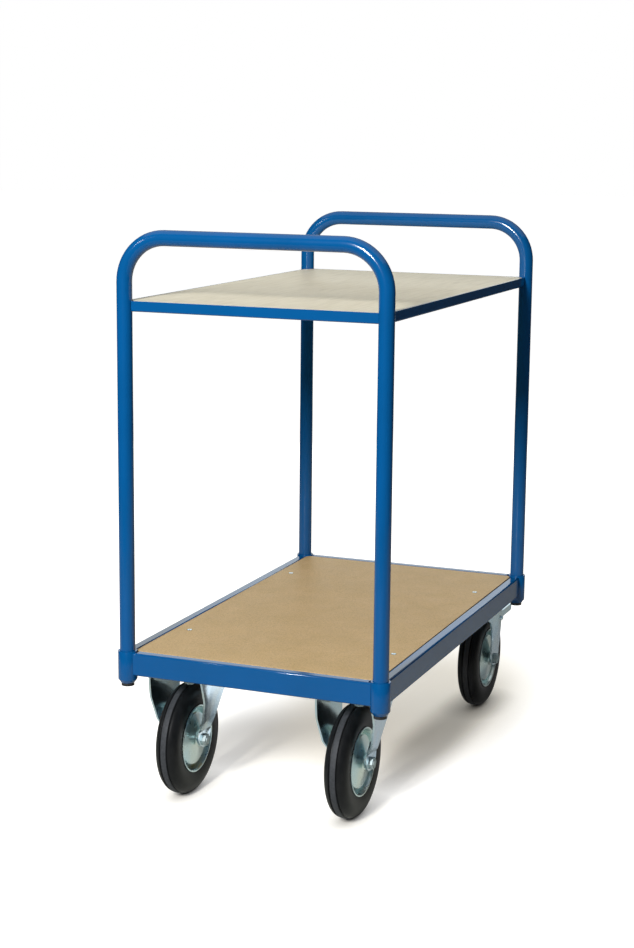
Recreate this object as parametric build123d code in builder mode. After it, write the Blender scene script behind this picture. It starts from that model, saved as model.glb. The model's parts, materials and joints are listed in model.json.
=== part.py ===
from build123d import *
from math import cos, radians, sin, sqrt
import os

os.makedirs("parts", exist_ok=True)

# Table top cart: two tube bows stand in corner sockets of a railed deck and carry a shelf.
# Fixed casters are at the front, braked swivel casters at the rear, trailing rearwards.
# Millimetres. Origin on the floor below the deck's centre, +X to the right, +Y to the rear, +Z up.

# Overall sizes
POST_SPAN_X = 470.0
POST_SPAN_Y = 820.0
BOW_TOP_Z = 990.0
SHELF_TOP_Z = 883.0
WHEEL_D = 200.0
HEAD_ROOM = 30.0

# Clearances
SEAT_GAP = 0.3
RUN_GAP = 0.05

# Bows
TUBE_D = 26.9
TUBE_WALL = 2.0
BEND_R = 75.0

# Corner sockets and their caps
SOCKET_WALL = 3.1
SOCKET_RISE = 2.0
SOCKET_SEAT_DROP = 4.0
SOCKET_TAPER_DROP = 8.0
SOCKET_BOTTOM_DROP = 15.0
SOCKET_FOOT_IN = 5.0
CAP_IN = 0.5
CAP_T = 5.0

# Deck rails and deck board
RAIL_H = 41.0
RAIL_W = 18.0
RAIL_SHEET = 2.0
RAIL_BEND = 3.0
RAIL_LEDGE = 14.0
RAIL_LIP = 12.0
RAIL_END_GAP = 4.0
DECK_T = 9.0
DECK_EDGE_GAP = 0.7
DECK_CORNER_GAP = 2.0

# Caster pans, the folded cross-members below the deck
PAN_SHEET = 4.0
PAN_BEND = 6.0
PAN_LIP = 24.0
PAN_INSET = 182.0
PAN_END_GAP = 1.0

# Shelf angles and shelf board
ANGLE_H = 18.0
ANGLE_W = 20.0
ANGLE_SHEET = 2.5
ANGLE_BEND = 3.0
ANGLE_OUT = 2.0
SHELF_EDGE_GAP = 0.7
SHELF_CORNER_GAP = 2.0

# Caster places, inwards from the corner sockets, and plates
FIXED_INSET_X = 60.15
SWIVEL_INSET_X = 48.15
CASTER_INSET_Y = 63.15
TRAIL = 46.0
PLATE_W = 110.0
PLATE_L = 140.0
PLATE_T = 4.0
PLATE_CORNER = 8.0

# Pressed fork legs, shared by both kinds of caster
LEG_SHEET = 3.5
LUG_R = 26.0
LUG_LIFT = 13.0
LUG_INNER_X = 29.5
LUG_STEP = 18.0
LUG_OVERLAP = 10.0
LEG_STEP = 2.0
LEG_FOOT_HALF = 27.0
LEG_STRIP_HALF = 62.0
FIXED_LEG_FRONT = 52.0
FIXED_LEG_REAR = 68.0
FIXED_FLARE_DROP = 40.0
FIXED_FLARE_END = 5.0
FIXED_SHOULDER_DROP = 25.0
FIXED_SHOULDER_R = 30.0
FIXED_FOLD = 4.0
FIXED_FOLD_SHIFT = 20.0

# Swivel head and fork
RACE_INNER_D = 44.0
RACE_OUTER_D = 72.0
RACE_SEAT_T = 3.0
RACE_H = 6.0
CROWN_T = 4.0
CROWN_R = 48.0
CROWN_INSET = 2.0
CROWN_RIM_H = 12.0
CROWN_RIM_T = 3.0
KINGPIN_D = 12.0
KINGPIN_HEAD_D = 40.0
KINGPIN_HEAD_T = 6.0
SWIVEL_LEG_TOP_X = 41.0
SWIVEL_LEG_REAR = 30.0
SWIVEL_LEG_FRONT = 66.0
SWIVEL_LEG_REAR_DROP = 72.0
SWIVEL_SKIRT_DROP = 22.0
SWIVEL_RIDGE = 4.0

# Brake pedal
PEDAL_TRAVEL = 12.0
PEDAL_REACH = 166.0
PEDAL_OUTSIDE_LUG = 2.0
PEDAL_SHEET = 2.5
PEDAL_DEPTH = 14.0
PEDAL_END_R = 6.0
TYRE_CLEARANCE = 0.7
PIVOT_BACK = 24.0
PIVOT_DROP = 19.0
PIVOT_D = 8.0
PIVOT_EAR_R = 10.0
PIVOT_WEB_RISE = 5.5

# Wheels and axles
TYRE_W = 42.0
TREAD_W = 22.0
SHOULDER_H = 16.0
RIM_D = 120.0
RIM_HALF = 19.0
RIM_LIP_T = 3.5
RIM_DISC_D = 96.0
RIM_DISC_HALF = 15.5
RIM_WELL_HALF = 8.0
SLEEVE_D = 20.0
AXLE_D = 12.0
AXLE_FLATS = 19.0
AXLE_HEAD_T = 7.5
AXLE_NUT_T = 10.0
AXLE_PAST_NUT = 2.0

# Heights and places that follow from the sizes above
HALF_X = POST_SPAN_X / 2
HALF_Y = POST_SPAN_Y / 2
TUBE_R = TUBE_D / 2
SOCKET_R = TUBE_R + SEAT_GAP + SOCKET_WALL
SOCKET_FOOT_R = SOCKET_R - SOCKET_FOOT_IN
WHEEL_R = WHEEL_D / 2
AXLE_Z = WHEEL_R
RAIL_BOTTOM = WHEEL_D + HEAD_ROOM
RAIL_TOP = RAIL_BOTTOM + RAIL_H
DECK_BOTTOM = RAIL_TOP - DECK_T
SOCKET_SEAT = RAIL_BOTTOM - SOCKET_SEAT_DROP
SOCKET_BOTTOM = RAIL_BOTTOM - SOCKET_BOTTOM_DROP
PLATE_BOTTOM = RAIL_BOTTOM - PLATE_T
RACE_TOP = PLATE_BOTTOM - RACE_SEAT_T
CROWN_TOP = RACE_TOP - RACE_H
CROWN_BOTTOM = CROWN_TOP - CROWN_T
LEG_FOOT_Z = AXLE_Z + LUG_STEP
LUG_OUTER_X = LUG_INNER_X + LEG_SHEET
LEG_FOOT_X = LUG_OUTER_X + LEG_STEP
PEDAL_HALF = LUG_INNER_X + PEDAL_OUTSIDE_LUG
PIVOT_Z = WHEEL_D - PIVOT_DROP
FIXED_X = HALF_X - SOCKET_R - FIXED_INSET_X
SWIVEL_X = HALF_X - SOCKET_R - SWIVEL_INSET_X
CASTER_Y = HALF_Y - SOCKET_R - CASTER_INSET_Y
SIDES = {"left": -1, "right": 1}
ENDS = {"front": -1, "rear": 1}


def save(builder, name):
    """Label a finished piece and write it to its own file."""
    builder.part.label = name
    export_step(builder.part, f"parts/{name}.step")


def edge_plane(outward, across, along, z):
    """Section plane at the start of a member along one edge: local X outward, local Y up."""
    forward = outward.cross(Vector(0, 0, 1))
    start = outward * (across / 2) - forward * (along / 2) + Vector(0, 0, z)
    return Plane(origin=start, x_dir=outward, z_dir=forward)


def side_plane(x, y, z=0.0):
    """Plane across the cart at one x: local X to the rear, local Y up, normal to the right."""
    return Plane(origin=(x, y, z), x_dir=(0, 1, 0), z_dir=(1, 0, 0))


def folded_member(outward, across, along, z, section, sheet, bend, post_r, end_gap=0.0):
    """Folded sheet member between two posts, mitred at the corners and coped round the posts."""
    plane = edge_plane(outward, across, along, z)
    height = max(point[1] for point in section)
    with BuildPart() as member:
        with BuildSketch(plane):
            with BuildLine():
                FilletPolyline(*section, radius=bend)
                offset(amount=sheet, side=Side.LEFT)
            make_face()
        extrude(amount=along)
        for inward, post in (
            (plane.z_dir, plane.origin),
            (-plane.z_dir, plane.origin + plane.z_dir * along),
        ):
            mitre = (outward + inward).normalized()
            split(bisect_by=Plane(origin=post + mitre * (SEAT_GAP / 2), z_dir=mitre), keep=Keep.TOP)
            with BuildSketch(Plane(origin=post)):
                Circle(post_r + SEAT_GAP)
            extrude(amount=height, mode=Mode.SUBTRACT)
            if end_gap:
                # The top flange stops short of the post, inside the outer bend
                with BuildSketch(Plane(origin=post + Vector(0, 0, height - 2 * sheet))):
                    Circle(post_r + end_gap)
                    outside = outward * (section[1][0] - bend + along / 2)
                    with Locations((outside.X, outside.Y)):
                        Rectangle(along, along, mode=Mode.SUBTRACT)
                extrude(amount=2 * sheet, mode=Mode.SUBTRACT)
    return member


def hexagon(flats):
    """Hexagon by its width across flats, with two flats facing along local X."""
    return RegularPolygon(flats / 2, 6, major_radius=False)


# Bows
for end, sign in ENDS.items():
    with BuildPart() as bow:
        with BuildLine(Plane.XZ.offset(-sign * HALF_Y)):
            FilletPolyline(
                (-HALF_X, SOCKET_SEAT),
                (-HALF_X, BOW_TOP_Z),
                (HALF_X, BOW_TOP_Z),
                (HALF_X, SOCKET_SEAT),
                radius=BEND_R,
            )
        with BuildSketch(Plane((-HALF_X, sign * HALF_Y, SOCKET_SEAT))):
            Circle(TUBE_R)
        sweep()
        # The straight legs are hollow, and the bends and top bar stay closed
        with BuildSketch(Plane((0, sign * HALF_Y, SOCKET_SEAT))):
            with GridLocations(POST_SPAN_X, 1, 2, 1):
                Circle(TUBE_R - TUBE_WALL)
        extrude(amount=BOW_TOP_Z - BEND_R - SOCKET_SEAT, mode=Mode.SUBTRACT)
    save(bow, f"{end}_bow")

# Corner sockets, each a sleeve with a seat for the tube and a drawn-in lower end
with BuildPart() as corner_sockets:
    for x in (-HALF_X, HALF_X):
        for y in (-HALF_Y, HALF_Y):
            with BuildSketch(Plane.XZ.offset(-y)):
                with BuildLine():
                    Polyline(
                        (x, SOCKET_BOTTOM),
                        (x + SOCKET_FOOT_R, SOCKET_BOTTOM),
                        (x + SOCKET_R, RAIL_BOTTOM - SOCKET_TAPER_DROP),
                        (x + SOCKET_R, RAIL_TOP + SOCKET_RISE),
                        (x + TUBE_R + SEAT_GAP, RAIL_TOP + SOCKET_RISE),
                        (x + TUBE_R + SEAT_GAP, SOCKET_SEAT),
                        (x, SOCKET_SEAT),
                        close=True,
                    )
                make_face()
            revolve(axis=Axis((x, y, 0), (0, 0, 1)))
save(corner_sockets, "corner_sockets")

# Plastic caps under the sockets
with BuildPart() as socket_caps:
    with BuildSketch(Plane.XY.offset(SOCKET_BOTTOM - CAP_T)):
        with GridLocations(POST_SPAN_X, POST_SPAN_Y, 2, 2):
            Circle(SOCKET_FOOT_R - CAP_IN)
    extrude(amount=CAP_T)
save(socket_caps, "socket_caps")

# Deck rails: one roll-formed section with a return lip below and a ledge that carries the board
RAIL_SECTION = (
    (RAIL_W / 2 - RAIL_LIP, 0),
    (RAIL_W / 2, 0),
    (RAIL_W / 2, RAIL_H),
    (-RAIL_W / 2, RAIL_H),
    (-RAIL_W / 2, RAIL_H - DECK_T),
    (-RAIL_W / 2 - RAIL_LEDGE, RAIL_H - DECK_T),
)
# Shelf angles: upright leg outside, lower leg under the shelf board
ANGLE_SECTION = ((ANGLE_OUT - ANGLE_W, 0), (ANGLE_OUT, 0), (ANGLE_OUT, ANGLE_H))
EDGES = {
    "left": (Vector(-1, 0, 0), POST_SPAN_X, POST_SPAN_Y),
    "right": (Vector(1, 0, 0), POST_SPAN_X, POST_SPAN_Y),
    "front": (Vector(0, -1, 0), POST_SPAN_Y, POST_SPAN_X),
    "rear": (Vector(0, 1, 0), POST_SPAN_Y, POST_SPAN_X),
}
for edge, (outward, across, along) in EDGES.items():
    rail = folded_member(
        outward, across, along, RAIL_BOTTOM, RAIL_SECTION, RAIL_SHEET, RAIL_BEND, SOCKET_R, RAIL_END_GAP
    )
    save(rail, f"{edge}_rail")
    angle = folded_member(
        outward, across, along, SHELF_TOP_Z - ANGLE_H, ANGLE_SECTION, ANGLE_SHEET, ANGLE_BEND, TUBE_R
    )
    save(angle, f"shelf_{edge}_angle")

# Caster pans: folded cross-members whose inner lip also holds up the deck board
PAN_INNER = HALF_Y - PAN_INSET
PAN_OUTER = HALF_Y - SOCKET_R - PAN_END_GAP
LEDGE_UNDERSIDE = RAIL_H - DECK_T - RAIL_SHEET
PAN_HALF = HALF_X + RAIL_W / 2 - RAIL_LIP - SEAT_GAP
PAN_LIP_HALF = HALF_X - RAIL_W / 2 - RAIL_LEDGE - SEAT_GAP
for end, sign in ENDS.items():
    plane = edge_plane(Vector(0, sign, 0), 0, 2 * PAN_HALF, RAIL_BOTTOM)
    with BuildPart() as pan:
        with BuildSketch(plane):
            with BuildLine():
                FilletPolyline(
                    (PAN_INNER + PAN_LIP, RAIL_H - DECK_T),
                    (PAN_INNER, RAIL_H - DECK_T),
                    (PAN_INNER, 0),
                    (PAN_OUTER, 0),
                    (PAN_OUTER, LEDGE_UNDERSIDE - SEAT_GAP),
                    radius=PAN_BEND,
                )
                offset(amount=PAN_SHEET, side=Side.LEFT)
            make_face()
        extrude(amount=2 * PAN_HALF)
        # Notches that pass below the ledges of the side rails
        with BuildSketch(Plane.XY.offset(RAIL_BOTTOM + LEDGE_UNDERSIDE - SEAT_GAP)):
            with Locations((PAN_HALF, 0), (-PAN_HALF, 0)):
                Rectangle(2 * (PAN_HALF - PAN_LIP_HALF), POST_SPAN_Y)
        extrude(amount=RAIL_H, mode=Mode.SUBTRACT)
    save(pan, f"{end}_caster_pan")

# Deck board, corners cut back from the sockets and lower edges eased over the bends of the ledges
DECK_CUT = sqrt(2) * (SOCKET_R + DECK_CORNER_GAP) - RAIL_W - 2 * DECK_EDGE_GAP
with BuildPart() as deck_board:
    with BuildSketch(Plane.XY.offset(DECK_BOTTOM)) as outline:
        Rectangle(
            POST_SPAN_X - RAIL_W - 2 * DECK_EDGE_GAP, POST_SPAN_Y - RAIL_W - 2 * DECK_EDGE_GAP
        )
        chamfer(outline.vertices(), length=DECK_CUT)
    extrude(amount=DECK_T)
    chamfer(deck_board.faces().sort_by(Axis.Z)[0].edges(), length=RAIL_BEND)
save(deck_board, "deck_board")

# Shelf board, seated in the angles with its corners cut back from the posts
SHELF_INSET = ANGLE_SHEET - ANGLE_OUT + SHELF_EDGE_GAP
SHELF_CUT = sqrt(2) * (TUBE_R + SHELF_CORNER_GAP) - 2 * SHELF_INSET
with BuildPart() as shelf_board:
    with BuildSketch(Plane.XY.offset(SHELF_TOP_Z - ANGLE_H + ANGLE_SHEET)) as outline:
        Rectangle(POST_SPAN_X - 2 * SHELF_INSET, POST_SPAN_Y - 2 * SHELF_INSET)
        chamfer(outline.vertices(), length=SHELF_CUT)
    extrude(amount=ANGLE_H - ANGLE_SHEET)
save(shelf_board, "shelf_board")


def top_plate(x, y):
    """Caster plate, added to the piece being built."""
    with BuildSketch(Plane((x, y, PLATE_BOTTOM))) as outline:
        RectangleRounded(PLATE_W, PLATE_L, PLATE_CORNER)
    extrude(outline.sketch, amount=PLATE_T)


def leg_strip(x, y, side, top_x, top_z, front_drop, rear_drop, fold_shift=0.0):
    """Sheet strip with a fold down it, leaning in from the fork's top to its foot."""
    lean = Vector(side * (LEG_FOOT_X - top_x), fold_shift, LEG_FOOT_Z - top_z)
    top = Plane(origin=(x + side * top_x, y, top_z), x_dir=(0, side, 0), z_dir=lean)
    front, rear = -side * LEG_STRIP_HALF, side * LEG_STRIP_HALF
    with BuildSketch(top.offset(-LEG_SHEET)) as section:
        with BuildLine():
            Polyline(
                (2 * front, -2 * front_drop),
                (0, 0),
                (2 * rear, -2 * rear_drop),
                (2 * rear, -2 * rear_drop - LEG_SHEET),
                (0, -LEG_SHEET),
                (2 * front, -2 * front_drop - LEG_SHEET),
                close=True,
            )
        make_face()
    extrude(section.sketch, amount=lean.length + 2 * LEG_SHEET)


def axle_lugs(x, y):
    """Flat lugs at the feet of both legs, drilled for the axle bolt."""
    for side in SIDES.values():
        with BuildSketch(side_plane(x + side * LUG_INNER_X, y, AXLE_Z)) as lug:
            with Locations((0, LUG_LIFT)):
                Circle(LUG_R)
                Rectangle(2 * LUG_R, LUG_STEP + LUG_OVERLAP - LUG_LIFT, align=(Align.CENTER, Align.MIN))
        extrude(lug.sketch, amount=side * LEG_SHEET)
    with BuildSketch(side_plane(x, y, AXLE_Z)) as hole:
        Circle(AXLE_D / 2 + SEAT_GAP)
    extrude(hole.sketch, amount=LEG_FOOT_X, both=True, mode=Mode.SUBTRACT)


# Fixed forks: plate and both legs pressed from one sheet
for name, side in SIDES.items():
    x, y = side * FIXED_X, -CASTER_Y
    with BuildPart() as fork:
        for leg in SIDES.values():
            leg_strip(x, y, leg, PLATE_W / 2, RAIL_BOTTOM, FIXED_FOLD, 0, FIXED_FOLD_SHIFT)
        shoulder_z = RAIL_BOTTOM - FIXED_SHOULDER_DROP
        flare_z = RAIL_BOTTOM - FIXED_FLARE_DROP
        flare_end = (-FIXED_LEG_FRONT, RAIL_BOTTOM - FIXED_FLARE_END)
        with BuildSketch(side_plane(x, y)) as outline:
            with BuildLine():
                Polyline(
                    flare_end,
                    (-FIXED_LEG_FRONT, RAIL_BOTTOM),
                    (FIXED_LEG_REAR, RAIL_BOTTOM),
                    (FIXED_LEG_REAR, shoulder_z),
                    (LEG_FOOT_HALF, LEG_FOOT_Z),
                    (-LEG_FOOT_HALF, LEG_FOOT_Z),
                    (-LEG_FOOT_HALF, flare_z),
                )
                TangentArc((-LEG_FOOT_HALF, flare_z), flare_end, tangent=(0, 1))
            make_face()
            shoulder = outline.vertices().sort_by_distance((FIXED_LEG_REAR, shoulder_z))[0]
            fillet(shoulder, radius=FIXED_SHOULDER_R)
        extrude(amount=PLATE_W, both=True, mode=Mode.INTERSECT)
        top_plate(x, y)
        axle_lugs(x, y)
    save(fork, f"fixed_fork_{name}")

# Swivel heads: plates, ball races and kingpins stay with the deck
with BuildPart() as swivel_plates:
    for side in SIDES.values():
        x, y = side * SWIVEL_X, CASTER_Y
        top_plate(x, y)
        with BuildSketch(Plane((x, y, RACE_TOP))):
            Circle(RACE_OUTER_D / 2)
        extrude(amount=RACE_SEAT_T)
        with BuildSketch(Plane((x, y, RACE_TOP))):
            Circle(KINGPIN_D / 2 + SEAT_GAP)
        extrude(amount=RACE_SEAT_T + PLATE_T, mode=Mode.SUBTRACT)
save(swivel_plates, "swivel_plates")

with BuildPart() as ball_races:
    with BuildSketch(Plane((0, CASTER_Y, CROWN_TOP + SEAT_GAP))):
        with GridLocations(2 * SWIVEL_X, 1, 2, 1):
            Circle(RACE_OUTER_D / 2)
            Circle(RACE_INNER_D / 2, mode=Mode.SUBTRACT)
    extrude(amount=RACE_H - SEAT_GAP)
save(ball_races, "ball_races")

with BuildPart() as kingpins:
    head = Plane((0, CASTER_Y, CROWN_BOTTOM - SEAT_GAP))
    with BuildSketch(head):
        with GridLocations(2 * SWIVEL_X, 1, 2, 1):
            Circle(KINGPIN_HEAD_D / 2)
    extrude(amount=-KINGPIN_HEAD_T)
    with BuildSketch(head):
        with GridLocations(2 * SWIVEL_X, 1, 2, 1):
            Circle(KINGPIN_D / 2)
    extrude(amount=RAIL_BOTTOM - CROWN_BOTTOM)
save(kingpins, "kingpins")

# Swivel forks and brake pedals
for name, side in SIDES.items():
    x, y = side * SWIVEL_X, CASTER_Y
    axle_y = y + TRAIL
    with BuildPart() as fork:
        for leg in SIDES.values():
            leg_strip(x, axle_y, leg, SWIVEL_LEG_TOP_X, CROWN_TOP, SWIVEL_RIDGE, SWIVEL_RIDGE)
        flare_z = CROWN_TOP - SWIVEL_LEG_REAR_DROP
        skirt_z = CROWN_TOP - SWIVEL_SKIRT_DROP
        with BuildSketch(side_plane(x, axle_y)):
            with BuildLine():
                Polyline(
                    (-SWIVEL_LEG_FRONT, skirt_z),
                    (-SWIVEL_LEG_FRONT, CROWN_TOP),
                    (SWIVEL_LEG_REAR, CROWN_TOP),
                    (SWIVEL_LEG_REAR, flare_z),
                    (LEG_FOOT_HALF, LEG_FOOT_Z),
                    (-LEG_FOOT_HALF, LEG_FOOT_Z),
                    (-LEG_FOOT_HALF, flare_z),
                )
                TangentArc((-LEG_FOOT_HALF, flare_z), (-SWIVEL_LEG_FRONT, skirt_z), tangent=(0, 1))
            make_face()
        extrude(amount=PLATE_W, both=True, mode=Mode.INTERSECT)
        # Crown round the kingpin, drawn out over the wheel, with a rim turned down
        with BuildSketch(Plane((x, y, CROWN_BOTTOM))):
            Circle(CROWN_R)
            with Locations((0, (TRAIL + SWIVEL_LEG_REAR) / 2)):
                Rectangle(2 * (SWIVEL_LEG_TOP_X - CROWN_INSET), TRAIL + SWIVEL_LEG_REAR)
        extrude(amount=CROWN_T)
        with BuildSketch(Plane((x, y, CROWN_TOP - CROWN_RIM_H))):
            Circle(CROWN_R)
            Circle(CROWN_R - CROWN_RIM_T, mode=Mode.SUBTRACT)
            with Locations((0, CROWN_R)):
                Rectangle(2 * CROWN_R, 2 * CROWN_R, mode=Mode.SUBTRACT)
        extrude(amount=CROWN_RIM_H)
        with BuildSketch(Plane((x, y, CROWN_BOTTOM))):
            Circle(KINGPIN_D / 2 + RUN_GAP)
        extrude(amount=CROWN_T, mode=Mode.SUBTRACT)
        axle_lugs(x, axle_y)
        with BuildSketch(side_plane(x, axle_y + PIVOT_BACK, PIVOT_Z)):
            Circle(PIVOT_D / 2 + SEAT_GAP)
        extrude(amount=PLATE_W, both=True, mode=Mode.SUBTRACT)
    save(fork, f"swivel_fork_{name}")

    # Pins that carry the pedal, one in each leg
    with BuildPart() as pins:
        for leg in SIDES.values():
            with BuildSketch(side_plane(x + leg * (PEDAL_HALF - PEDAL_SHEET), axle_y + PIVOT_BACK, PIVOT_Z)):
                Circle(PIVOT_D / 2)
            extrude(amount=leg * (SWIVEL_LEG_TOP_X - PEDAL_HALF + PEDAL_SHEET))
    save(pins, f"pedal_pins_{name}")

    # Brake pedal: its web starts where, pressed right down, it just clears the tyre
    swing = radians(PEDAL_TRAVEL)
    back = PIVOT_BACK + PIVOT_WEB_RISE * sin(swing)
    rise = PIVOT_Z - AXLE_Z + PIVOT_WEB_RISE * cos(swing)
    slant = back * cos(swing) - rise * sin(swing)
    web_start = sqrt(slant**2 - back**2 - rise**2 + (WHEEL_R + TYRE_CLEARANCE) ** 2) - slant
    web_end = PEDAL_REACH - TRAIL - PIVOT_BACK
    web_top = PIVOT_WEB_RISE + PEDAL_SHEET
    pivot_y = axle_y + PIVOT_BACK
    with BuildPart() as pedal:
        with BuildSketch(side_plane(x, pivot_y, PIVOT_Z)):
            with BuildLine():
                Polyline(
                    (0, web_top - PEDAL_DEPTH),
                    (web_end, web_top - PEDAL_DEPTH),
                    (web_end, web_top),
                    (0, web_top),
                    close=True,
                )
            make_face()
            Circle(PIVOT_EAR_R)
        extrude(amount=PEDAL_HALF, both=True)
        end_edges = pedal.edges().filter_by(Axis.X).group_by(Axis.Y)[-1]
        fillet(end_edges, radius=PEDAL_END_R)
        # Hollow below the web, open towards the wheel
        with BuildSketch(side_plane(x, pivot_y, PIVOT_Z)):
            with BuildLine():
                Polyline(
                    (-2 * PIVOT_EAR_R, -PEDAL_DEPTH),
                    (web_end - PEDAL_SHEET, -PEDAL_DEPTH),
                    (web_end - PEDAL_SHEET, PIVOT_WEB_RISE),
                    (web_start, PIVOT_WEB_RISE),
                    (web_start, 2 * PIVOT_EAR_R),
                    (-2 * PIVOT_EAR_R, 2 * PIVOT_EAR_R),
                    close=True,
                )
            make_face()
        extrude(amount=PEDAL_HALF - PEDAL_SHEET, both=True, mode=Mode.SUBTRACT)
        with BuildSketch(side_plane(x, pivot_y, PIVOT_Z)):
            Circle(PIVOT_D / 2 + RUN_GAP)
        extrude(amount=PEDAL_HALF, both=True, mode=Mode.SUBTRACT)
    save(pedal, f"brake_pedal_{name}")


def axle_set(places, prefix, suffix):
    """Bolt, nut and bearing sleeve that carry one or more wheels."""
    with BuildPart() as bolts:
        for x, y in places:
            with BuildSketch(side_plane(x - LUG_OUTER_X, y, AXLE_Z)):
                hexagon(AXLE_FLATS)
            extrude(amount=-AXLE_HEAD_T)
            with BuildSketch(side_plane(x - LUG_OUTER_X, y, AXLE_Z)):
                Circle(AXLE_D / 2)
            extrude(amount=2 * LUG_OUTER_X + AXLE_NUT_T + AXLE_PAST_NUT)
    save(bolts, f"{prefix}_axle_bolt{suffix}")
    with BuildPart() as nuts:
        for x, y in places:
            with BuildSketch(side_plane(x + LUG_OUTER_X, y, AXLE_Z)):
                hexagon(AXLE_FLATS)
                Circle(AXLE_D / 2 + SEAT_GAP, mode=Mode.SUBTRACT)
            extrude(amount=AXLE_NUT_T)
    save(nuts, f"{prefix}_axle_nut{suffix}")
    with BuildPart() as sleeves:
        for x, y in places:
            with BuildSketch(side_plane(x, y, AXLE_Z)):
                Circle(SLEEVE_D / 2)
                Circle(AXLE_D / 2 + SEAT_GAP, mode=Mode.SUBTRACT)
            extrude(amount=LUG_INNER_X, both=True)
    save(sleeves, f"{prefix}_axle_sleeve{suffix}")


def wheel(x, y, name):
    """Solid tyre on a stepped rim that runs on the axle sleeve."""
    axis = Axis((x, y, AXLE_Z), (1, 0, 0))
    rim_r = RIM_D / 2
    tyre_outline = (
        (TYRE_W / 2, rim_r + SEAT_GAP),
        (TYRE_W / 2, WHEEL_R - SHOULDER_H),
        (TREAD_W / 2, WHEEL_R),
    )
    rim_outline = (
        (RIM_DISC_HALF, SLEEVE_D / 2 + RUN_GAP),
        (RIM_DISC_HALF, RIM_DISC_D / 2),
        (RIM_WELL_HALF, RIM_DISC_D / 2),
        (RIM_WELL_HALF, rim_r - RIM_LIP_T),
        (RIM_HALF, rim_r - RIM_LIP_T),
        (RIM_HALF, rim_r),
    )
    for piece, outline in (("tyre", tyre_outline), ("rim", rim_outline)):
        with BuildPart() as ring:
            with BuildSketch(Plane((x, y, AXLE_Z))):
                with BuildLine():
                    mirrored = tuple((-half, r) for half, r in reversed(outline))
                    Polyline(*outline, *mirrored, close=True)
                make_face()
            revolve(axis=axis)
        save(ring, f"{piece}_{name}")


axle_set([(-FIXED_X, -CASTER_Y), (FIXED_X, -CASTER_Y)], "fixed", "s")
for name, side in SIDES.items():
    axle_set([(side * SWIVEL_X, CASTER_Y + TRAIL)], "swivel", f"_{name}")
    wheel(side * FIXED_X, -CASTER_Y, f"front_{name}")
    wheel(side * SWIVEL_X, CASTER_Y + TRAIL, f"rear_{name}")
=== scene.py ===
import json
import math
import random

import bmesh
import bpy
from mathutils import Matrix, Vector


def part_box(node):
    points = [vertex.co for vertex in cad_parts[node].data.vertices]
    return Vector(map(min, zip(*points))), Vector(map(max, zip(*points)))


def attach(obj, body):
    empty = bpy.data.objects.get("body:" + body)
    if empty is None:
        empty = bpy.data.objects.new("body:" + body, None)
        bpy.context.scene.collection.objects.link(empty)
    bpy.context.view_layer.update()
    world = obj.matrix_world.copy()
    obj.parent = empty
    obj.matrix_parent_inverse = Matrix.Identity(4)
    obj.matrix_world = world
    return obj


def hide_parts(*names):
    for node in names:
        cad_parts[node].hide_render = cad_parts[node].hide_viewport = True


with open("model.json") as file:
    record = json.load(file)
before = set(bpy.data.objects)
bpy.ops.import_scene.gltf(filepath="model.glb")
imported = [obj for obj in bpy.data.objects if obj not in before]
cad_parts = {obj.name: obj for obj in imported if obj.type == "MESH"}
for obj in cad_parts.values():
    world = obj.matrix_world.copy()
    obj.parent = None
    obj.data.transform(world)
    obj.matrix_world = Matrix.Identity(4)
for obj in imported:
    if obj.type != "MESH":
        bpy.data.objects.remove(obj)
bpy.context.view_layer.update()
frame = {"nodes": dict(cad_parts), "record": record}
NODES = frame["nodes"]
MM = 0.001
SIDES = ("left", "right")
CORNERS = ((-1, -1), (-1, 1), (1, -1), (1, 1))
WHITE = (1, 1, 1)
BLACK = (0, 0, 0)
random.seed(7)

# Camera that was fitted to the photograph
CAMERA_PLACE = (1.2355, -3.2130, 1.1762)
CAMERA_YAW = math.radians(-21.742)
CAMERA_PITCH = math.radians(-10.57)
CAMERA_ROLL = math.radians(0.562)
CAMERA_LENS = 70.9
CAMERA_SENSOR = 36
CAMERA_CLIP_END = 200

# Mesh settings: steps round a ring, merge distances in metres and angles in degrees
RING_STEPS = 96
TYRE_STEPS = 120
SCREW_STEPS = 40
WASHER_STEPS = 24
MERGE_DISTANCE = 1e-7
WELD_DISTANCE = 1e-6
SHARP_ANGLE = 35
WHEEL_SHARP_ANGLE = 28
BOLT_SHARP_ANGLE = 30
BEVEL_ANGLE = 32
HEX_SIDES = 6

# Share of a side that a round corner may take, and width and segments of the soft edges
ROUND_SHARE = 0.45
FORK_BEVEL = (1.2 * MM, 3)
EDGE_BEVEL = (0.5 * MM, 2)

# Materials: depth of the bumps, how zinc's tint and roughness wander, and the spin of the rims
BUMP_DEPTH = 0.2 * MM
ZINC_WARM = (1.06, 1, 0.93)
ZINC_COOL = (0.93, 0.99, 1.04)
ZINC_SPREAD = (-0.04, 0.05)
SPUN_AMOUNT = 0.75
SPUN_TURN = 0.25

# Tyres
TYRE_WIDEST_R = 78 * MM
TYRE_BEAD_HALF = 18 * MM
TYRE_BEAD_STEPS = 6
TYRE_ARC_STEPS = 40
TYRE_SHOULDER_POWERS = (0.82, 0.9)
GROOVE_PLACE = 6.6 * MM
GROOVE_HALF = 1.7 * MM
GROOVE_DEPTH = 2.6 * MM
GROOVE_STEEPNESS = 1.4

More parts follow.
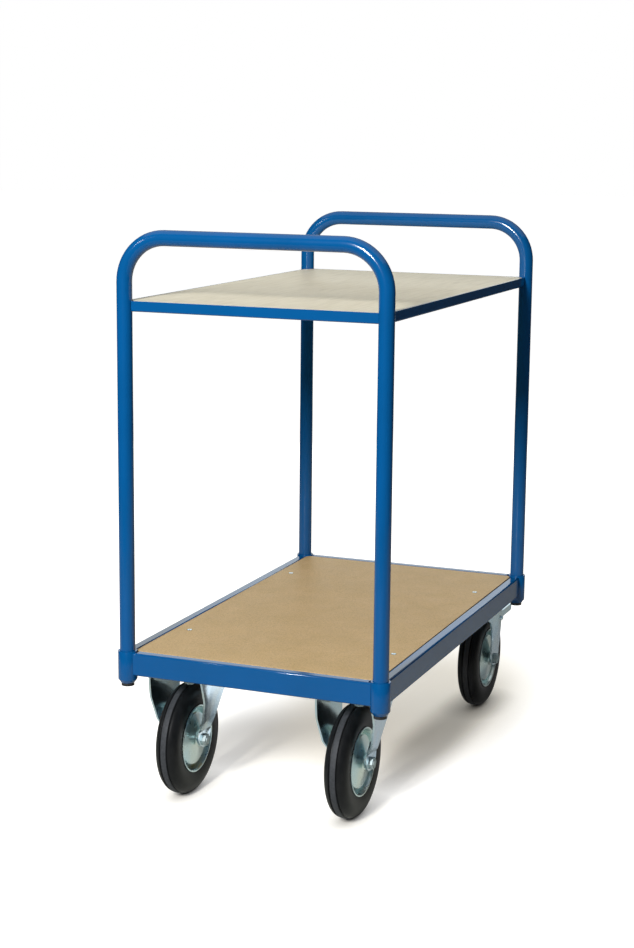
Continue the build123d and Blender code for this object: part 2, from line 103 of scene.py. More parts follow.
# Rims: the lip's points are across and out from the CAD rim's edge, the disc's from its own edge
RIM_LIP = ((-1 * MM, 0), (0.9 * MM, 0.4 * MM), (0.8 * MM, -2.6 * MM), (-4 * MM, -4.4 * MM))
RIM_CHANNEL_HALF = (4 * MM, 3 * MM)
RIM_CHANNEL_DROP = 6 * MM
RIM_CHANNEL_FLOOR = 2.6 * MM
RIM_DISC_R = 48 * MM
RIM_DISC_HALF = 15.5 * MM
RIM_DISC_EDGE = ((-2.5 * MM, 0.6 * MM), (0, -2 * MM))
RIM_BORE_R = 10.1 * MM
RIM_ROUND = 1.6 * MM
RIM_ROUND_STEPS = 3
HUB_R = 13 * MM
HUB_HALF = 25 * MM
HUB_CONE_R = 45 * MM
HUB_CHAMFER = (3 * MM, 1.5 * MM)

# Fixed fork legs: the CAD node's outline, where a pair is for the foot and the top
LEG_FOOT_Z = 118 * MM
LEG_TOP_Z = 225 * MM
LEG_FRONT = (27 * MM, 52 * MM)
LEG_FLARE_Z = 190 * MM
LEG_FOLD_SHIFT = 20 * MM

# Fixed fork legs: how the front wings curl and turn outwards, fading in from the foot and top
LEG_LEVELS = 16
CURL_STEP = 4 * MM
CURL_WIDTH = 26 * MM
CURL_OUT = 4 * MM
WING_SLOPE = 0.13
WING_FADE = (6, 2.4)

# Bolts and washers under the caster plates, and axle ends
PLATE_T = 4 * MM
KINGPIN_HEAD_R = 20 * MM
BOLT_GRID = (60 * MM, 105 * MM)
BOLT_FLATS = 17 * MM
BOLT_HEAD_H = 6.4 * MM
BOLT_CHAMFER = (0.8, 0.9)
WASHER_R = 9.6 * MM
WASHER_BORE_R = 1 * MM
WASHER_T = 1.6 * MM
AXLE_END_SHARE = 0.6

# Deck screws, with heights above the board
SCREW_INSET = (38 * MM, 170 * MM)
SCREW_HEAD_R = 4.4 * MM
SCREW_HEAD_Z = (0.05 * MM, 0.35 * MM)
SCREW_HEAD_TAPER = 0.93
SCREW_CORE_R = 0.02 * MM
# Ring round each screw head, black as painted shade of the gap round the head
SCREW_SHADE_RING_Z = (0.04 * MM, 0.12 * MM)
SCREW_SHADE_RING_W = 0.7 * MM
# Cross on each head, a thin black sheet as painted shade in its recess
RECESS_ARM = 1.8 * MM
RECESS_HALF = 0.42 * MM
RECESS_T = 0.04 * MM

# Floor and surround
STAGE_R = 30.0
FLOOR_STEPS = 96
SURROUND_STEPS = (48, 24)
# Ellipse of painted shadow under the cart: centre, reach, fade, glow inside and beyond it, and the
# warm tint of the painted shade
PAPER_CENTRE = (0.036, 0.304)
PAPER_REACH = (0.24, 0.478)
PAPER_FADE = (0.5, 1.3)
PAPER_GLOW = (0.55, 1.0)
PAPER_SHADE = (1.0, 0.95, 0.85)
# Painted contact shadow under the tyres, from ambient occlusion: reach and glow
CONTACT_SHADOW_REACH = 0.06
CONTACT_SHADOW_GLOW = (-0.1, 1.0)

# Patches of painted shadow on the floor under the cart, beside the wheels: centre, reach and glow
SHADOW_PATCH_FADE = (0.3, 1.4)
SHADOW_PATCHES = (
    ((0.16, 0.1), (0.064, 0.4), 0.42),
    ((-0.18, -0.048), (0.124, 0.25), 0.49),
)

# Floors that only light the cart: name, tone in front, tone round it, glow, and if mirrors see it
BOUNCE_SIZE = (5.0, 6.0)
BOUNCE_CENTRE = (0.0, 0.9)
BOUNCE_Z = -1 * MM
BOUNCE_FADE = (-1.3, -0.2)
BOUNCE_RISE = (-0.9, -0.3)
BOUNCES = (
    ("floor_bounce", (0.15, 0.15, 0.15), (0.5, 0.5, 0.49), 0.0, False),
    ("floor_mirrored", (0.2, 0.2, 0.2), (0.77, 0.79, 0.7), 0.09, True),
)

# Cards on the floor that only mirrors see, as painted shade (the dark one) and painted light (the
# glowing ones) in the cart's reflections: name, centre, size and glow
CARD_Z = -0.5 * MM
CARDS = (
    ("card_bright", (0.06, 0.08), (0.144, 0.3), 1.3),
    ("card_dark", (-0.15, 0.17), (0.27, 0.46), 0.02),
    ("card_near", (0.265, 0.1), (0.26, 0.36), 0.42),
    ("card_pale", (0.3, 0.72), (0.24, 0.4), 0.26),
)

# Lamps: name, place, target, size, power and colour
LAMPS = (
    ("key", (-0.08, -3.5, 2.13), (0, 0, 0.6), (0.34, 0.9), 158, WHITE),
    ("ceiling", (0, 0.9, 3.4), (0, 0.9, 0), (6, 5), 54, WHITE),
    ("wall", (-1.3, 3.2, 1.0), (0, 0, 0.7), (3.6, 1.8), 25, (0.93, 1, 1)),
    ("glint", (-2.3, -2.5, 2.0), (-0.2, -0.4, 0.98), (0.3, 0.3), 8, WHITE),
)
WORLD_TINT = (0.95, 0.97, 1)
WORLD_FILL = 0.03


# Meshes

def new_object(name, bm, body, material, sharp=SHARP_ANGLE):
    """Turn a bmesh into a smooth-shaded object that rides on a body."""
    bmesh.ops.remove_doubles(bm, verts=bm.verts, dist=MERGE_DISTANCE)
    bmesh.ops.recalc_face_normals(bm, faces=bm.faces)
    mesh = bpy.data.meshes.new(name)
    bm.to_mesh(mesh)
    bm.free()
    mesh.shade_smooth()
    mesh.set_sharp_from_angle(angle=math.radians(sharp))
    obj = bpy.data.objects.new(name, mesh)
    bpy.context.scene.collection.objects.link(obj)
    obj.data.materials.append(material)
    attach(obj, body)
    return obj


def node_copy(name):
    """Copy of a CAD node's mesh, where the node is."""
    node = NODES[name]
    bm = bmesh.new()
    bm.from_mesh(node.data)
    bm.transform(node.matrix_world)
    return bm


def node_centre(name):
    """Middle of a CAD node's box."""
    low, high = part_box(name)
    return (low + high) / 2


def join(target, source):
    """Copy one bmesh into another and free it."""
    mesh = bpy.data.meshes.new("joined")
    source.to_mesh(mesh)
    source.free()
    target.from_mesh(mesh)
    bpy.data.meshes.remove(mesh)


def cut(bm, place, normal):
    """Divide a mesh along a plane, so that it can bend there."""
    whole = bm.verts[:] + bm.edges[:] + bm.faces[:]
    bmesh.ops.bisect_plane(bm, geom=whole, plane_co=place, plane_no=normal)


def revolved(profile, centre, axis="X", steps=RING_STEPS):
    """Closed ring from a closed profile of (along, radius) points, turned about an axis."""
    bm = bmesh.new()
    rings = []
    for i in range(steps):
        turn = 2 * math.pi * i / steps
        ring = []
        for along, r in profile:
            a, b = r * math.cos(turn), r * math.sin(turn)
            offset = (along, a, b) if axis == "X" else (a, b, along)
            ring.append(bm.verts.new(Vector(centre) + Vector(offset)))
        rings.append(ring)
    count = len(profile)
    for i in range(steps):
        near, far = rings[i], rings[(i + 1) % steps]
        for k in range(count):
            m = (k + 1) % count
            bm.faces.new((near[k], near[m], far[m], far[k]))
    return bm


def rounded(corners, radius, steps):
    """Closed outline with each corner replaced by a short arc."""
    out = []
    count = len(corners)
    for i, corner in enumerate(corners):
        here = Vector(corner)
        before = Vector(corners[i - 1]) - here
        after = Vector(corners[(i + 1) % count]) - here
        reach = min(radius, before.length * ROUND_SHARE, after.length * ROUND_SHARE)
        start = here + before.normalized() * reach
        end = here + after.normalized() * reach
        for k in range(steps + 1):
            t = k / steps
            out.append(start * (1 - t) ** 2 + here * 2 * t * (1 - t) + end * t**2)
    return out


def soften(obj, width, segments):
    """Weld a CAD mesh and round its edges a little."""
    weld = obj.modifiers.new("weld", "WELD")
    weld.merge_threshold = WELD_DISTANCE
    bevel = obj.modifiers.new("bevel", "BEVEL")
    bevel.width = width
    bevel.segments = segments
    bevel.limit_method = "ANGLE"
    bevel.angle_limit = math.radians(BEVEL_ANGLE)
    bevel.harden_normals = True


# Materials

class Look:
    """A principled material with helpers for its texture nodes."""

    # Sockets of a mix node that mixes colours
    MIX_AMOUNT, MIX_FIRST, MIX_SECOND, MIX_RESULT = 0, 6, 7, 2

    def __init__(self, name, colour, roughness, metallic=0.0, specular=0.5):
        self.material = bpy.data.materials.new(name)
        self.material.use_nodes = True
        self.nodes = self.material.node_tree.nodes
        self.links = self.material.node_tree.links
        self.shader = self.nodes["Principled BSDF"]
        self.shader.inputs["Base Color"].default_value = (*colour, 1)
        self.shader.inputs["Roughness"].default_value = roughness
        self.shader.inputs["Metallic"].default_value = metallic
        self.shader.inputs["Specular IOR Level"].default_value = specular
        self.place = self.nodes.new("ShaderNodeTexCoord").outputs["Object"]

    def stretched(self, scale):
        mapping = self.nodes.new("ShaderNodeMapping")
        mapping.inputs["Scale"].default_value = scale
        self.links.new(self.place, mapping.inputs["Vector"])
        return mapping.outputs["Vector"]

    def noise(self, scale, detail=3.0, stretch=None, distortion=0.0):
        node = self.nodes.new("ShaderNodeTexNoise")
        node.inputs["Scale"].default_value = scale
        node.inputs["Detail"].default_value = detail
        node.inputs["Distortion"].default_value = distortion
        place = self.stretched(stretch) if stretch else self.place
        self.links.new(place, node.inputs["Vector"])
        return node.outputs["Fac"]

    def ramp(self, value, *stops):
        node = self.nodes.new("ShaderNodeValToRGB")
        while len(node.color_ramp.elements) < len(stops):
            node.color_ramp.elements.new(0.5)
        for element, (position, colour) in zip(node.color_ramp.elements, stops):
            element.position = position
            element.color = (*colour, 1)
        self.links.new(value, node.inputs["Fac"])
        return node.outputs["Color"]

    def mix(self, amount, first, second, mode="MIX"):
        node = self.nodes.new("ShaderNodeMix")
        node.data_type = "RGBA"
        node.blend_type = mode
        inputs = (self.MIX_AMOUNT, amount), (self.MIX_FIRST, first), (self.MIX_SECOND, second)
        for index, value in inputs:
            socket = node.inputs[index]
            if isinstance(value, bpy.types.NodeSocket):
                self.links.new(value, socket)
            elif isinstance(value, tuple):
                socket.default_value = (*value, 1)
            else:
                socket.default_value = value
        return node.outputs[self.MIX_RESULT]

    def map_range(self, value, low, high):
        node = self.nodes.new("ShaderNodeMapRange")
        node.inputs["To Min"].default_value = low
        node.inputs["To Max"].default_value = high
        self.links.new(value, node.inputs["Value"])
        return node.outputs["Result"]

    def smoothstep(self, value, start, end, top=1.0):
        node = self.nodes.new("ShaderNodeMapRange")
        node.interpolation_type = "SMOOTHSTEP"
        node.inputs["From Min"].default_value = start
        node.inputs["From Max"].default_value = end
        node.inputs["To Max"].default_value = top
        self.links.new(value, node.inputs["Value"])
        return node.outputs["Result"]

    def colour(self, value):
        self.links.new(value, self.shader.inputs["Base Color"])

    def roughness(self, value):
        self.links.new(value, self.shader.inputs["Roughness"])

    def bump(self, height, strength):
        node = self.nodes.new("ShaderNodeBump")
        node.inputs["Strength"].default_value = strength
        node.inputs["Distance"].default_value = BUMP_DEPTH
        self.links.new(height, node.inputs["Height"])
        self.links.new(node.outputs["Normal"], self.shader.inputs["Normal"])


def blue_powder_coat():
    """Glossy blue paint with faint flecks."""
    look = Look("blue_powder_coat", (0.001, 0.085, 0.265), roughness=0.15)
    tone = look.ramp(look.noise(9), (0.3, (0.001, 0.081, 0.25)), (0.7, (0.001, 0.089, 0.28)))
    fleck = look.ramp(look.noise(420, detail=2), (0.7, BLACK), (0.78, WHITE))
    look.colour(look.mix(fleck, tone, (0.002, 0.095, 0.3)))
    look.roughness(look.map_range(look.noise(60), low=0.12, high=0.19))
    look.bump(look.noise(500, detail=1), strength=0.04)
    return look.material


def zinc_plate(name, tint, roughness):
    """Zinc-plated steel whose tint wanders from cool to warm."""
    look = Look(name, tint, roughness, metallic=1.0)
    warm = tuple(level * change for level, change in zip(tint, ZINC_WARM))
    cool = tuple(level * change for level, change in zip(tint, ZINC_COOL))
    look.colour(look.ramp(look.noise(22, distortion=0.5), (0.35, cool), (0.65, warm)))
    low, high = (roughness + change for change in ZINC_SPREAD)
    look.roughness(look.map_range(look.noise(90), low, high))
    look.bump(look.noise(900, detail=2, stretch=(1, 1, 0.12)), strength=0.03)
    return look


def spun(look):
    """Turn a look into one that was spun about its object's X axis."""
    tangent = look.nodes.new("ShaderNodeTangent")
    tangent.direction_type = "RADIAL"
    tangent.axis = "X"
    look.links.new(tangent.outputs["Tangent"], look.shader.inputs["Tangent"])
    look.shader.inputs["Anisotropic"].default_value = SPUN_AMOUNT
    look.shader.inputs["Anisotropic Rotation"].default_value = SPUN_TURN
    return look


def tyre_rubber():
    """Black rubber with a little dust, dull and grey where it is worn."""
    look = Look("tyre_rubber", (0.008, 0.008, 0.009), roughness=0.27, specular=0.2)
    mottle = look.noise(70, detail=4)
    grey = look.ramp(mottle, (0.35, (0.007, 0.008, 0.009)), (0.75, (0.012, 0.013, 0.014)))
    dust = look.ramp(look.noise(320), (0.68, BLACK), (0.85, WHITE))
    black = look.mix(dust, grey, (0.02, 0.02, 0.021))
    wear = look.nodes.new("ShaderNodeAttribute")
    wear.attribute_name = "wear"
    scuffs = look.noise(240, detail=4)
    scuffed = look.ramp(scuffs, (0.3, (0.036, 0.04, 0.044)), (0.7, (0.056, 0.06, 0.067)))
    look.colour(look.mix(wear.outputs["Fac"], black, scuffed))
    look.roughness(look.map_range(wear.outputs["Fac"], low=0.38, high=0.55))
    look.bump(look.noise(1100, detail=2), strength=0.06)
    return look.material


def deck_hardboard():
    """Tan hardboard with soft clouds, fibres and chips."""
    look = Look("deck_hardboard", (0.6, 0.42, 0.2), roughness=0.5, specular=0.36)
    clouds = look.noise(16, detail=5, distortion=0.4)
    cloud = look.ramp(clouds, (0.3, (0.615, 0.42, 0.18)), (0.7, (0.675, 0.465, 0.21)))
    fibres = look.noise(520, detail=4)
    fibre = look.ramp(fibres, (0.3, (0.7, 0.67, 0.62)), (0.52, WHITE))
    specks = look.noise(300, distortion=1.0)
    chips = look.ramp(specks, (0.36, (0.84, 0.82, 0.78)), (0.52, WHITE))
    look.colour(look.mix(1.0, look.mix(1.0, cloud, fibre, "MULTIPLY"), chips, "MULTIPLY"))
    look.roughness(look.map_range(look.noise(30), low=0.42, high=0.56))
    look.bump(look.noise(900), strength=0.08)
    return look.material


def shelf_facing():
    """Pale facing with a grain that runs along the cart."""
    look = Look("shelf_facing", (0.86, 0.8, 0.63), roughness=0.45, specular=0.4)
    grain = look.noise(10, detail=5, stretch=(7, 1, 7), distortion=0.3)
    figure = look.ramp(grain, (0.3, (0.845, 0.765, 0.565)), (0.7, (0.905, 0.825, 0.625)))
    lines = look.noise(240, detail=2, stretch=(1, 0.05, 1))
    fibre = look.ramp(lines, (0.3, (0.88, 0.87, 0.85)), (0.5, WHITE))
    look.colour(look.mix(1.0, figure, fibre, "MULTIPLY"))
    look.roughness(look.map_range(look.noise(40), low=0.38, high=0.52))
    look.bump(look.noise(420, detail=2), strength=0.06)
    return look.material


def black_plastic():
    """Matt black plastic."""
    look = Look("black_plastic", (0.012, 0.012, 0.012), roughness=0.5)
    tone = look.ramp(look.noise(120), (0.35, (0.009, 0.009, 0.009)), (0.7, (0.02, 0.02, 0.021)))
    look.colour(tone)
    look.bump(look.noise(1400, detail=1), strength=0.2)
    return look.material


LOOKS = {
    "blue_paint": blue_powder_coat(),
    "zinc_steel": zinc_plate("zinc_steel", (0.67, 0.83, 0.93), roughness=0.22).material,
    "rim_zinc": spun(zinc_plate("rim_zinc", (0.7, 0.84, 0.85), roughness=0.28)).material,
    "tyre_rubber": tyre_rubber(),
    "deck_board": deck_hardboard(),
    "shelf_board": shelf_facing(),
    "black_plastic": black_plastic(),
}
FASTENER_LOOK = zinc_plate("zinc_fastener", (0.5, 0.6, 0.64), roughness=0.66).material


def dress_nodes():
    """Give every CAD node its material, and soft edges to most of those that stay in view."""
    slots = {s["node"]: s["material_slot"] for s in frame["record"]["subparts"]}
    bevelled = ("rail", "angle", "board", "pan", "pedal", "plates", "sockets")
    for name, obj in NODES.items():
        obj.data.materials.clear()
        obj.data.materials.append(LOOKS[slots[name]])
        if "swivel_fork" in name:
            soften(obj, *FORK_BEVEL)
        elif any(word in name for word in bevelled):
            soften(obj, *EDGE_BEVEL)


# Wheels

def tyre_profile(wheel_r, half, seat_r):
    """Tyre outline: bead, bulging side, round shoulder and a tread of three ribs."""
    side = []
    for i in range(TYRE_BEAD_STEPS):
        t = i / TYRE_BEAD_STEPS
        r = seat_r + (TYRE_WIDEST_R - seat_r) * t
        side.append((half - (half - TYRE_BEAD_HALF) * (1 - t) ** 2, r))
    across, out = TYRE_SHOULDER_POWERS
    for i in range(TYRE_ARC_STEPS + 1):
        t = math.pi / 2 * i / TYRE_ARC_STEPS
        x = half * math.cos(t) ** across
        r = TYRE_WIDEST_R + (wheel_r - TYRE_WIDEST_R) * math.sin(t) ** out
        dip = max(0.0, 1 - abs(x - GROOVE_PLACE) / GROOVE_HALF)
        side.append((x, r - GROOVE_DEPTH * min(1.0, dip * GROOVE_STEEPNESS)))
    side[-1] = (0.0, wheel_r)
    return side + [(-x, r) for x, r in reversed(side[:-1])]


def rim_profile(rim_r, lip_half):
    """Rim outline: rolled lip, deep channel and a disc coned out to the hub on both sides."""
    side = [(lip_half + across, rim_r + out) for across, out in RIM_LIP]
    side += [
        (RIM_CHANNEL_HALF[0], rim_r - RIM_CHANNEL_DROP),
        (RIM_CHANNEL_HALF[1], RIM_DISC_R + RIM_CHANNEL_FLOOR),
    ]
    side += [(RIM_DISC_HALF + across, RIM_DISC_R + out) for across, out in RIM_DISC_EDGE]
    side += [
        (RIM_DISC_HALF, HUB_CONE_R),
        (HUB_HALF - HUB_CHAMFER[0], HUB_R + HUB_CHAMFER[1]),
        (HUB_HALF, HUB_R),
        (HUB_HALF, RIM_BORE_R),
    ]
    outline = side + [(-x, r) for x, r in reversed(side)]
    return [tuple(p) for p in rounded(outline, RIM_ROUND, RIM_ROUND_STEPS)]


def mark_wear(mesh, centre, wheel_r):
    """Mark the rib that runs on the floor, which the rubber's look dulls."""
    rib = GROOVE_PLACE - GROOVE_HALF
    values = []
    for vertex in mesh.vertices:
        across = abs(vertex.co.x - centre.x)
        r = math.hypot(vertex.co.y - centre.y, vertex.co.z - centre.z)
        values.append(1.0 if across < rib and r > wheel_r - GROOVE_DEPTH else 0.0)
    mesh.attributes.new("wear", "FLOAT", "POINT").data.foreach_set("value", values)


def wheel_piece(kind, wheel, bm, slot):
    """Tyre or rim of one wheel, in place of its CAD node."""
    body, look = f"wheel_{wheel}", LOOKS[slot]
    piece = new_object(f"{kind}_shaped_{wheel}", bm, body, look, WHEEL_SHARP_ANGLE)
    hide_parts(f"{kind}_{wheel}")
    return piece


def build_wheels():
    """Tyres and rims whose outlines fill the boxes of their CAD nodes."""
    for end in ("front", "rear"):
        for side in SIDES:
            wheel = f"{end}_{side}"
            low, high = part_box(f"tyre_{wheel}")
            centre = (low + high) / 2
            wheel_r, half = (high.z - low.z) / 2, (high.x - low.x) / 2
            rim_low, rim_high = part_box(f"rim_{wheel}")
            rim_r, lip_half = (rim_high.z - rim_low.z) / 2, (rim_high.x - rim_low.x) / 2
            bm = revolved(tyre_profile(wheel_r, half, rim_r), centre, steps=TYRE_STEPS)
            tyre = wheel_piece("tyre", wheel, bm, "tyre_rubber")
            mark_wear(tyre.data, centre, wheel_r)
            bm = revolved(rim_profile(rim_r, lip_half), centre)
            wheel_piece("rim", wheel, bm, "rim_zinc")


# Fixed forks

def leg_outline(z):
    """Front edge and fold of a CAD leg at a height, measured rearwards from the wheel's centre."""
    front, flare = LEG_FRONT
    radius = ((flare - front) ** 2 + (LEG_TOP_Z - LEG_FLARE_Z) ** 2) / (2 * (flare - front))
    over = max(0.0, z - LEG_FLARE_Z)
    front_y = -front - radius + math.sqrt(max(0.0, radius**2 - over**2))
    fold_y = LEG_FOLD_SHIFT * (LEG_TOP_Z - z) / (LEG_TOP_Z - LEG_FOOT_Z)
    return front_y, fold_y


def shape_leg(vertex, centre):
    """Move a point of a front wing forwards to an even taper, and outwards."""
    z = vertex.co.z
    front_y, fold_y = leg_outline(z)
    y = vertex.co.y - centre.y
    if not LEG_FOOT_Z < z < LEG_TOP_Z or y >= fold_y:
        return
    rise = (z - LEG_FOOT_Z) / (LEG_TOP_Z - LEG_FOOT_Z)
    amount = min(1.0, rise * WING_FADE[0], (1 - rise) * WING_FADE[1])
    outward = 1 if vertex.co.x > centre.x else -1
    new_front = -LEG_FRONT[0] - (LEG_FRONT[1] - LEG_FRONT[0]) * rise
    y = fold_y + (fold_y - y) / (fold_y - front_y) * (new_front - fold_y)
    curl = max(0.0, 1 - (y - new_front) / CURL_WIDTH)
    vertex.co.y = centre.y + y
    vertex.co.x += outward * amount * (CURL_OUT * curl**2 + WING_SLOPE * (fold_y - y))


def build_fixed_forks():
    """CAD forks with evenly tapered legs, whose front wings turn and curl outwards."""
    for side in SIDES:
        name = f"fixed_fork_{side}"
        centre = node_centre(name)
        bm = node_copy(name)
        bmesh.ops.remove_doubles(bm, verts=bm.verts, dist=WELD_DISTANCE)
        for k in range(LEG_LEVELS + 1):
            z = LEG_FOOT_Z + (LEG_TOP_Z - LEG_FOOT_Z) * k / LEG_LEVELS
            cut(bm, (0, 0, z), (0, 0, 1))
        for k in range(1, int(LEG_FRONT[1] / CURL_STEP) + 1):
            y = centre.y - LEG_FRONT[1] + k * CURL_STEP
            cut(bm, (0, y, 0), (0, 1, 0))
        for vertex in bm.verts:
            shape_leg(vertex, centre)
        fork = new_object(f"fork_shaped_{side}", bm, "frame", LOOKS["zinc_steel"])
        soften(fork, *FORK_BEVEL)
        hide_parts(name)


# Small fasteners

def hex_head(bm, place):
    """Chamfered hexagon head that hangs below a place."""
    step = 2 * math.pi / HEX_SIDES
    corner_r = BOLT_FLATS / math.sqrt(3)
    levels = (
        (0, corner_r),
        (BOLT_HEAD_H * BOLT_CHAMFER[0], corner_r),
        (BOLT_HEAD_H, corner_r * BOLT_CHAMFER[1]),
    )
    rings = []
    for level, r in levels:
        ring = []
        for k in range(HEX_SIDES):
            turn = step / 2 + k * step
            corner = Vector((r * math.cos(turn), r * math.sin(turn), -level))
            ring.append(bm.verts.new(place + corner))
        rings.append(ring)
    for lower, upper in zip(rings, rings[1:]):
        for k in range(HEX_SIDES):
            m = (k + 1) % HEX_SIDES
            bm.faces.new((lower[k], lower[m], upper[m], upper[k]))
    bm.faces.new(rings[0])
    bm.faces.new(rings[-1])


def build_axle_ends():
    """Axle nuts and bolt ends that stand out less than those of the CAD nodes."""
    low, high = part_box("swivel_axle_nut_left")
    thickness = high.x - low.x
    ends = [("frame", "fixed_axle_nuts", "fixed_axle_bolts")]
    for side in SIDES:
        ends.append((f"swivel_{side}", f"swivel_axle_nut_{side}", f"swivel_axle_bolt_{side}"))
    for body, nuts, bolts in ends:
        low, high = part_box(nuts)
        for name in (nuts, bolts):
            bm = node_copy(name)
            for vertex in bm.verts:
                seat = low.x if vertex.co.x < 0 else high.x - thickness
                past = vertex.co.x - seat
                if past > 0:
                    vertex.co.x = seat + past * AXLE_END_SHARE
            end = new_object(f"{name}_shaped", bm, body, FASTENER_LOOK)
            soften(end, *EDGE_BEVEL)
            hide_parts(name)


def build_caster_bolts():
    """Hex bolts with washers under each caster plate."""
    plate_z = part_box("fixed_fork_left")[1].z - PLATE_T
    places = [node_centre(f"fixed_fork_{side}").xy for side in SIDES]
    low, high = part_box("kingpins")
    for x in (low.x + KINGPIN_HEAD_R, high.x - KINGPIN_HEAD_R):
        places.append((x, (low.y + high.y) / 2))
    washer = [(0, WASHER_BORE_R), (0, WASHER_R), (-WASHER_T, WASHER_R), (-WASHER_T, WASHER_BORE_R)]
    bm = bmesh.new()
    for x, y in places:
        for sx, sy in CORNERS:
            spot = Vector((x + sx * BOLT_GRID[0] / 2, y + sy * BOLT_GRID[1] / 2, plate_z))
            join(bm, revolved(washer, spot, "Z", WASHER_STEPS))
            hex_head(bm, spot - Vector((0, 0, WASHER_T)))
    new_object("caster_bolts", bm, "frame", FASTENER_LOOK, BOLT_SHARP_ANGLE)


def build_deck_screws():
    """Cross-recess screws in the deck board, with painted shade in each cross and a ring of
    painted shade round each head.
    """
    low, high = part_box("front_bow")
    half_x = (high.x - low.x) / 2 - (high.y - low.y) / 2
    half_y = abs(node_centre("front_bow").y)
    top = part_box("deck_board")[1].z
    head_low, head_top = SCREW_HEAD_Z
    head = [
        (head_low, SCREW_CORE_R),
        (head_top, SCREW_CORE_R),
        (head_top, SCREW_HEAD_R * SCREW_HEAD_TAPER),
        (head_low, SCREW_HEAD_R),
    ]
    # Ring of painted shade round the head
    shade_ring_low, shade_ring_top = SCREW_SHADE_RING_Z
    shade_ring_r = SCREW_HEAD_R + SCREW_SHADE_RING_W
    ring = [
        (shade_ring_low, SCREW_HEAD_R), (shade_ring_top, SCREW_HEAD_R), (shade_ring_top, shade_ring_r), (shade_ring_low, shade_ring_r)
    ]
    heads, recess_shade = bmesh.new(), bmesh.new()
    for sx, sy in CORNERS:
        spot = Vector((sx * (half_x - SCREW_INSET[0]), sy * (half_y - SCREW_INSET[1]), top))
        join(heads, revolved(head, spot, "Z", SCREW_STEPS))
        join(recess_shade, revolved(ring, spot, "Z", SCREW_STEPS))
        turn = Matrix.Rotation(random.uniform(0, math.pi / 2), 4, "Z")
        place = Matrix.Translation(spot + Vector((0, 0, head_top))) @ turn
        for along, across in ((RECESS_ARM, RECESS_HALF), (RECESS_HALF, RECESS_ARM)):
            stretch = Matrix.Diagonal((2 * along, 2 * across, RECESS_T, 1))
            bmesh.ops.create_cube(recess_shade, size=1, matrix=place @ stretch)
    # The rings and crosses take the black plastic look as painted shade
    plastic = LOOKS["black_plastic"]
    new_object("deck_screws", heads, "frame", LOOKS["zinc_steel"])
    new_object("deck_screw_recess_shade", recess_shade, "frame", plastic)


# Stage, camera and light

def glowing(name, strength):
    """Black surface with an even white light of its own."""
    look = Look(name, BLACK, roughness=1.0)
    look.shader.inputs["Emission Color"].default_value = (*WHITE, 1)
    look.shader.inputs["Emission Strength"].default_value = strength
    return look.material


def bounce_paper(name, front, near, lift):
    """Paper as the cart sees it, darker in front of the cart, with a little light of its own."""
    look = Look(name, near, roughness=0.9)
    place = look.nodes.new("ShaderNodeNewGeometry").outputs["Position"]
    parts = look.nodes.new("ShaderNodeSeparateXYZ")
    look.links.new(place, parts.inputs["Vector"])
    look.colour(look.mix(look.smoothstep(parts.outputs["Y"], *BOUNCE_FADE), front, near))
    glow = look.smoothstep(parts.outputs["Y"], *BOUNCE_RISE, lift)
    look.shader.inputs["Emission Color"].default_value = (*WHITE, 1)
    look.links.new(glow, look.shader.inputs["Emission Strength"])
    return look.material


def away_from(look, centre, reach, fade):
    """Value that rises from 0 to 1 across the rim of an ellipse on the floor."""
    beyond = look.place
    for operation, other in (("SUBTRACT", (*centre, 0)), ("DIVIDE", (*reach, 1))):
        step = look.nodes.new("ShaderNodeVectorMath")
        step.operation = operation
        step.inputs[1].default_value = other
        look.links.new(beyond, step.inputs[0])
        beyond = step.outputs["Vector"]
    distance = look.nodes.new("ShaderNodeVectorMath")
    distance.operation = "LENGTH"
    look.links.new(beyond, distance.inputs[0])
    return look.smoothstep(distance.outputs["Value"], *fade)


def floor_paper():
    """White paper with painted shadow under the cart and beside the wheels, pure white away from
    it, see-through from below.
    """
    look = Look("floor_paper", (0.6, 0.57, 0.5), roughness=0.8)
    look.colour(look.ramp(look.noise(5), (0.3, (0.58, 0.55, 0.48)), (0.7, (0.62, 0.59, 0.52))))
    # Less glow where shadow is painted: in the ellipse, the patches and the contact shadow, tinted
    # warm
    away = away_from(look, PAPER_CENTRE, PAPER_REACH, PAPER_FADE)
    shades = []
    for centre, reach, glow in SHADOW_PATCHES:
        shades.append((away_from(look, centre, reach, SHADOW_PATCH_FADE), (glow, 1.0)))
    contact = look.nodes.new("ShaderNodeAmbientOcclusion")
    contact.inputs["Distance"].default_value = CONTACT_SHADOW_REACH
    shades.append((contact.outputs["AO"], CONTACT_SHADOW_GLOW))
    lit = look.map_range(away, *PAPER_GLOW)
    for value, glow in shades:
        product = look.nodes.new("ShaderNodeMath")
        product.operation = "MULTIPLY"
        look.links.new(lit, product.inputs[0])
        look.links.new(look.map_range(value, *glow), product.inputs[1])
        lit = product.outputs["Value"]
    tint = look.mix(away, PAPER_SHADE, WHITE)
    look.links.new(tint, look.shader.inputs["Emission Color"])
    look.links.new(lit, look.shader.inputs["Emission Strength"])
    clear = look.nodes.new("ShaderNodeBsdfTransparent")
    choice = look.nodes.new("ShaderNodeMixShader")
    back = look.nodes.new("ShaderNodeNewGeometry").outputs["Backfacing"]
    output = look.nodes["Material Output"].inputs["Surface"]
    look.links.new(back, choice.inputs[0])
    look.links.new(look.shader.outputs[0], choice.inputs[1])
    look.links.new(clear.outputs[0], choice.inputs[2])
    look.links.new(choice.outputs[0], output)
    return look.material


def seen_by(obj, camera=False, diffuse=False, glossy=False):
    """Say which rays meet a stage object."""
    obj.visible_camera = camera
    obj.visible_diffuse = diffuse
    obj.visible_glossy = glossy
    obj.visible_transmission = False
    obj.visible_volume_scatter = False
    obj.visible_shadow = False


def stage_plane(name, place, size, material):
    """Level rectangle for the stage."""
    bpy.ops.mesh.primitive_plane_add(size=1, location=place)
    plane = bpy.context.object
    plane.scale = (*size, 1)
    plane.name = name
    plane.data.materials.append(material)
    return plane


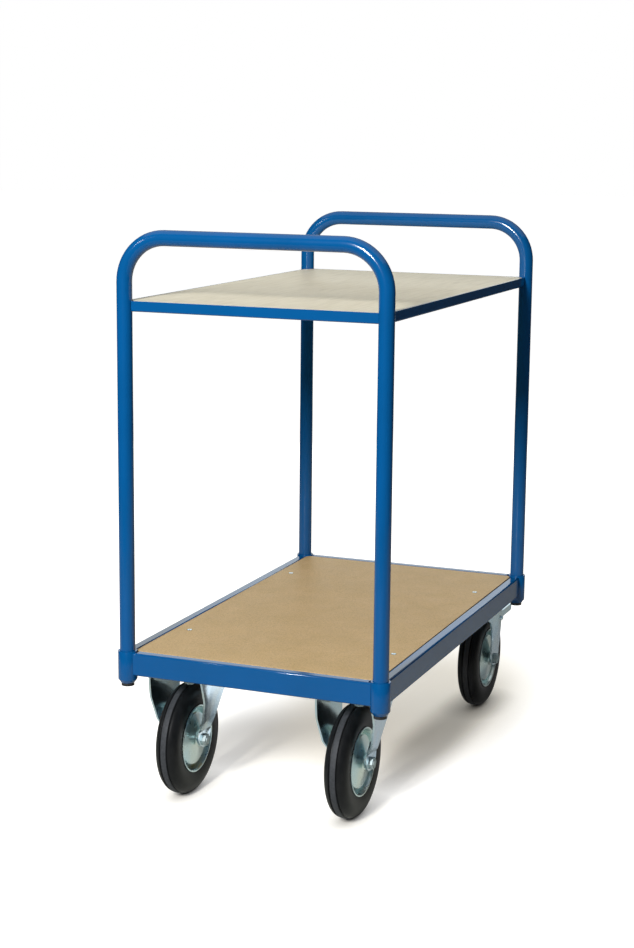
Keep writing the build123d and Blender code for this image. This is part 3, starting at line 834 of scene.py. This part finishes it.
def build_stage():
    """Floor that the camera sees, floors and cards that only light the cart, and a surround."""
    bpy.ops.mesh.primitive_circle_add(vertices=FLOOR_STEPS, radius=STAGE_R, fill_type="NGON")
    floor = bpy.context.object
    floor.name = "floor"
    floor.data.materials.append(floor_paper())
    seen_by(floor, camera=True)
    for name, front, near, lift, glossy in BOUNCES:
        paper = bounce_paper(name, front, near, lift)
        bounce = stage_plane(name, (*BOUNCE_CENTRE, BOUNCE_Z), BOUNCE_SIZE, paper)
        seen_by(bounce, diffuse=not glossy, glossy=glossy)
    for name, centre, size, glow in CARDS:
        card = stage_plane(name, (*centre, CARD_Z), size, glowing(name, glow))
        seen_by(card, glossy=True)
    segments, rings = SURROUND_STEPS
    bpy.ops.mesh.primitive_uv_sphere_add(segments=segments, ring_count=rings, radius=STAGE_R)
    surround = bpy.context.object
    surround.name = "surround"
    surround.data.materials.append(glowing("surround_white", 1.0))
    seen_by(surround, camera=True)


def build_camera():
    """Camera at the photograph's place, turned by its yaw, pitch and roll."""
    data = bpy.data.cameras.new("camera")
    data.lens = CAMERA_LENS
    data.sensor_width = CAMERA_SENSOR
    data.clip_end = CAMERA_CLIP_END
    camera = bpy.data.objects.new("camera", data)
    bpy.context.scene.collection.objects.link(camera)
    forward = Vector((
        math.sin(CAMERA_YAW) * math.cos(CAMERA_PITCH),
        math.cos(CAMERA_YAW) * math.cos(CAMERA_PITCH),
        math.sin(CAMERA_PITCH),
    ))
    level = Vector((math.cos(CAMERA_YAW), -math.sin(CAMERA_YAW), 0))
    upright = level.cross(forward)
    right = math.cos(CAMERA_ROLL) * level + math.sin(CAMERA_ROLL) * upright
    up = -math.sin(CAMERA_ROLL) * level + math.cos(CAMERA_ROLL) * upright
    turn = Matrix((right, up, -forward)).transposed().to_4x4()
    camera.matrix_world = Matrix.Translation(CAMERA_PLACE) @ turn
    bpy.context.scene.camera = camera


def area_light(name, place, target, size, power, colour):
    """Rectangular lamp that the camera doesn't see, aimed at a target."""
    data = bpy.data.lights.new(name, "AREA")
    data.shape = "RECTANGLE"
    data.size, data.size_y = size
    data.energy = power
    data.color = colour
    light = bpy.data.objects.new(name, data)
    light.visible_camera = False
    bpy.context.scene.collection.objects.link(light)
    aim = (Vector(target) - Vector(place)).to_track_quat("-Z", "Y")
    light.matrix_world = Matrix.Translation(place) @ aim.to_matrix().to_4x4()


def build_light():
    """Softbox in front, wide one overhead, pale wall behind, small glint and a faint fill."""
    world = bpy.data.worlds.new("studio")
    bpy.context.scene.world = world
    world.use_nodes = True
    background = world.node_tree.nodes["Background"]
    background.inputs["Color"].default_value = (*WORLD_TINT, 1)
    background.inputs["Strength"].default_value = WORLD_FILL
    for lamp in LAMPS:
        area_light(*lamp)
    bpy.context.scene.view_settings.view_transform = "Standard"


dress_nodes()
build_wheels()
build_fixed_forks()
build_axle_ends()
build_caster_bolts()
build_deck_screws()
build_stage()
build_camera()
build_light()
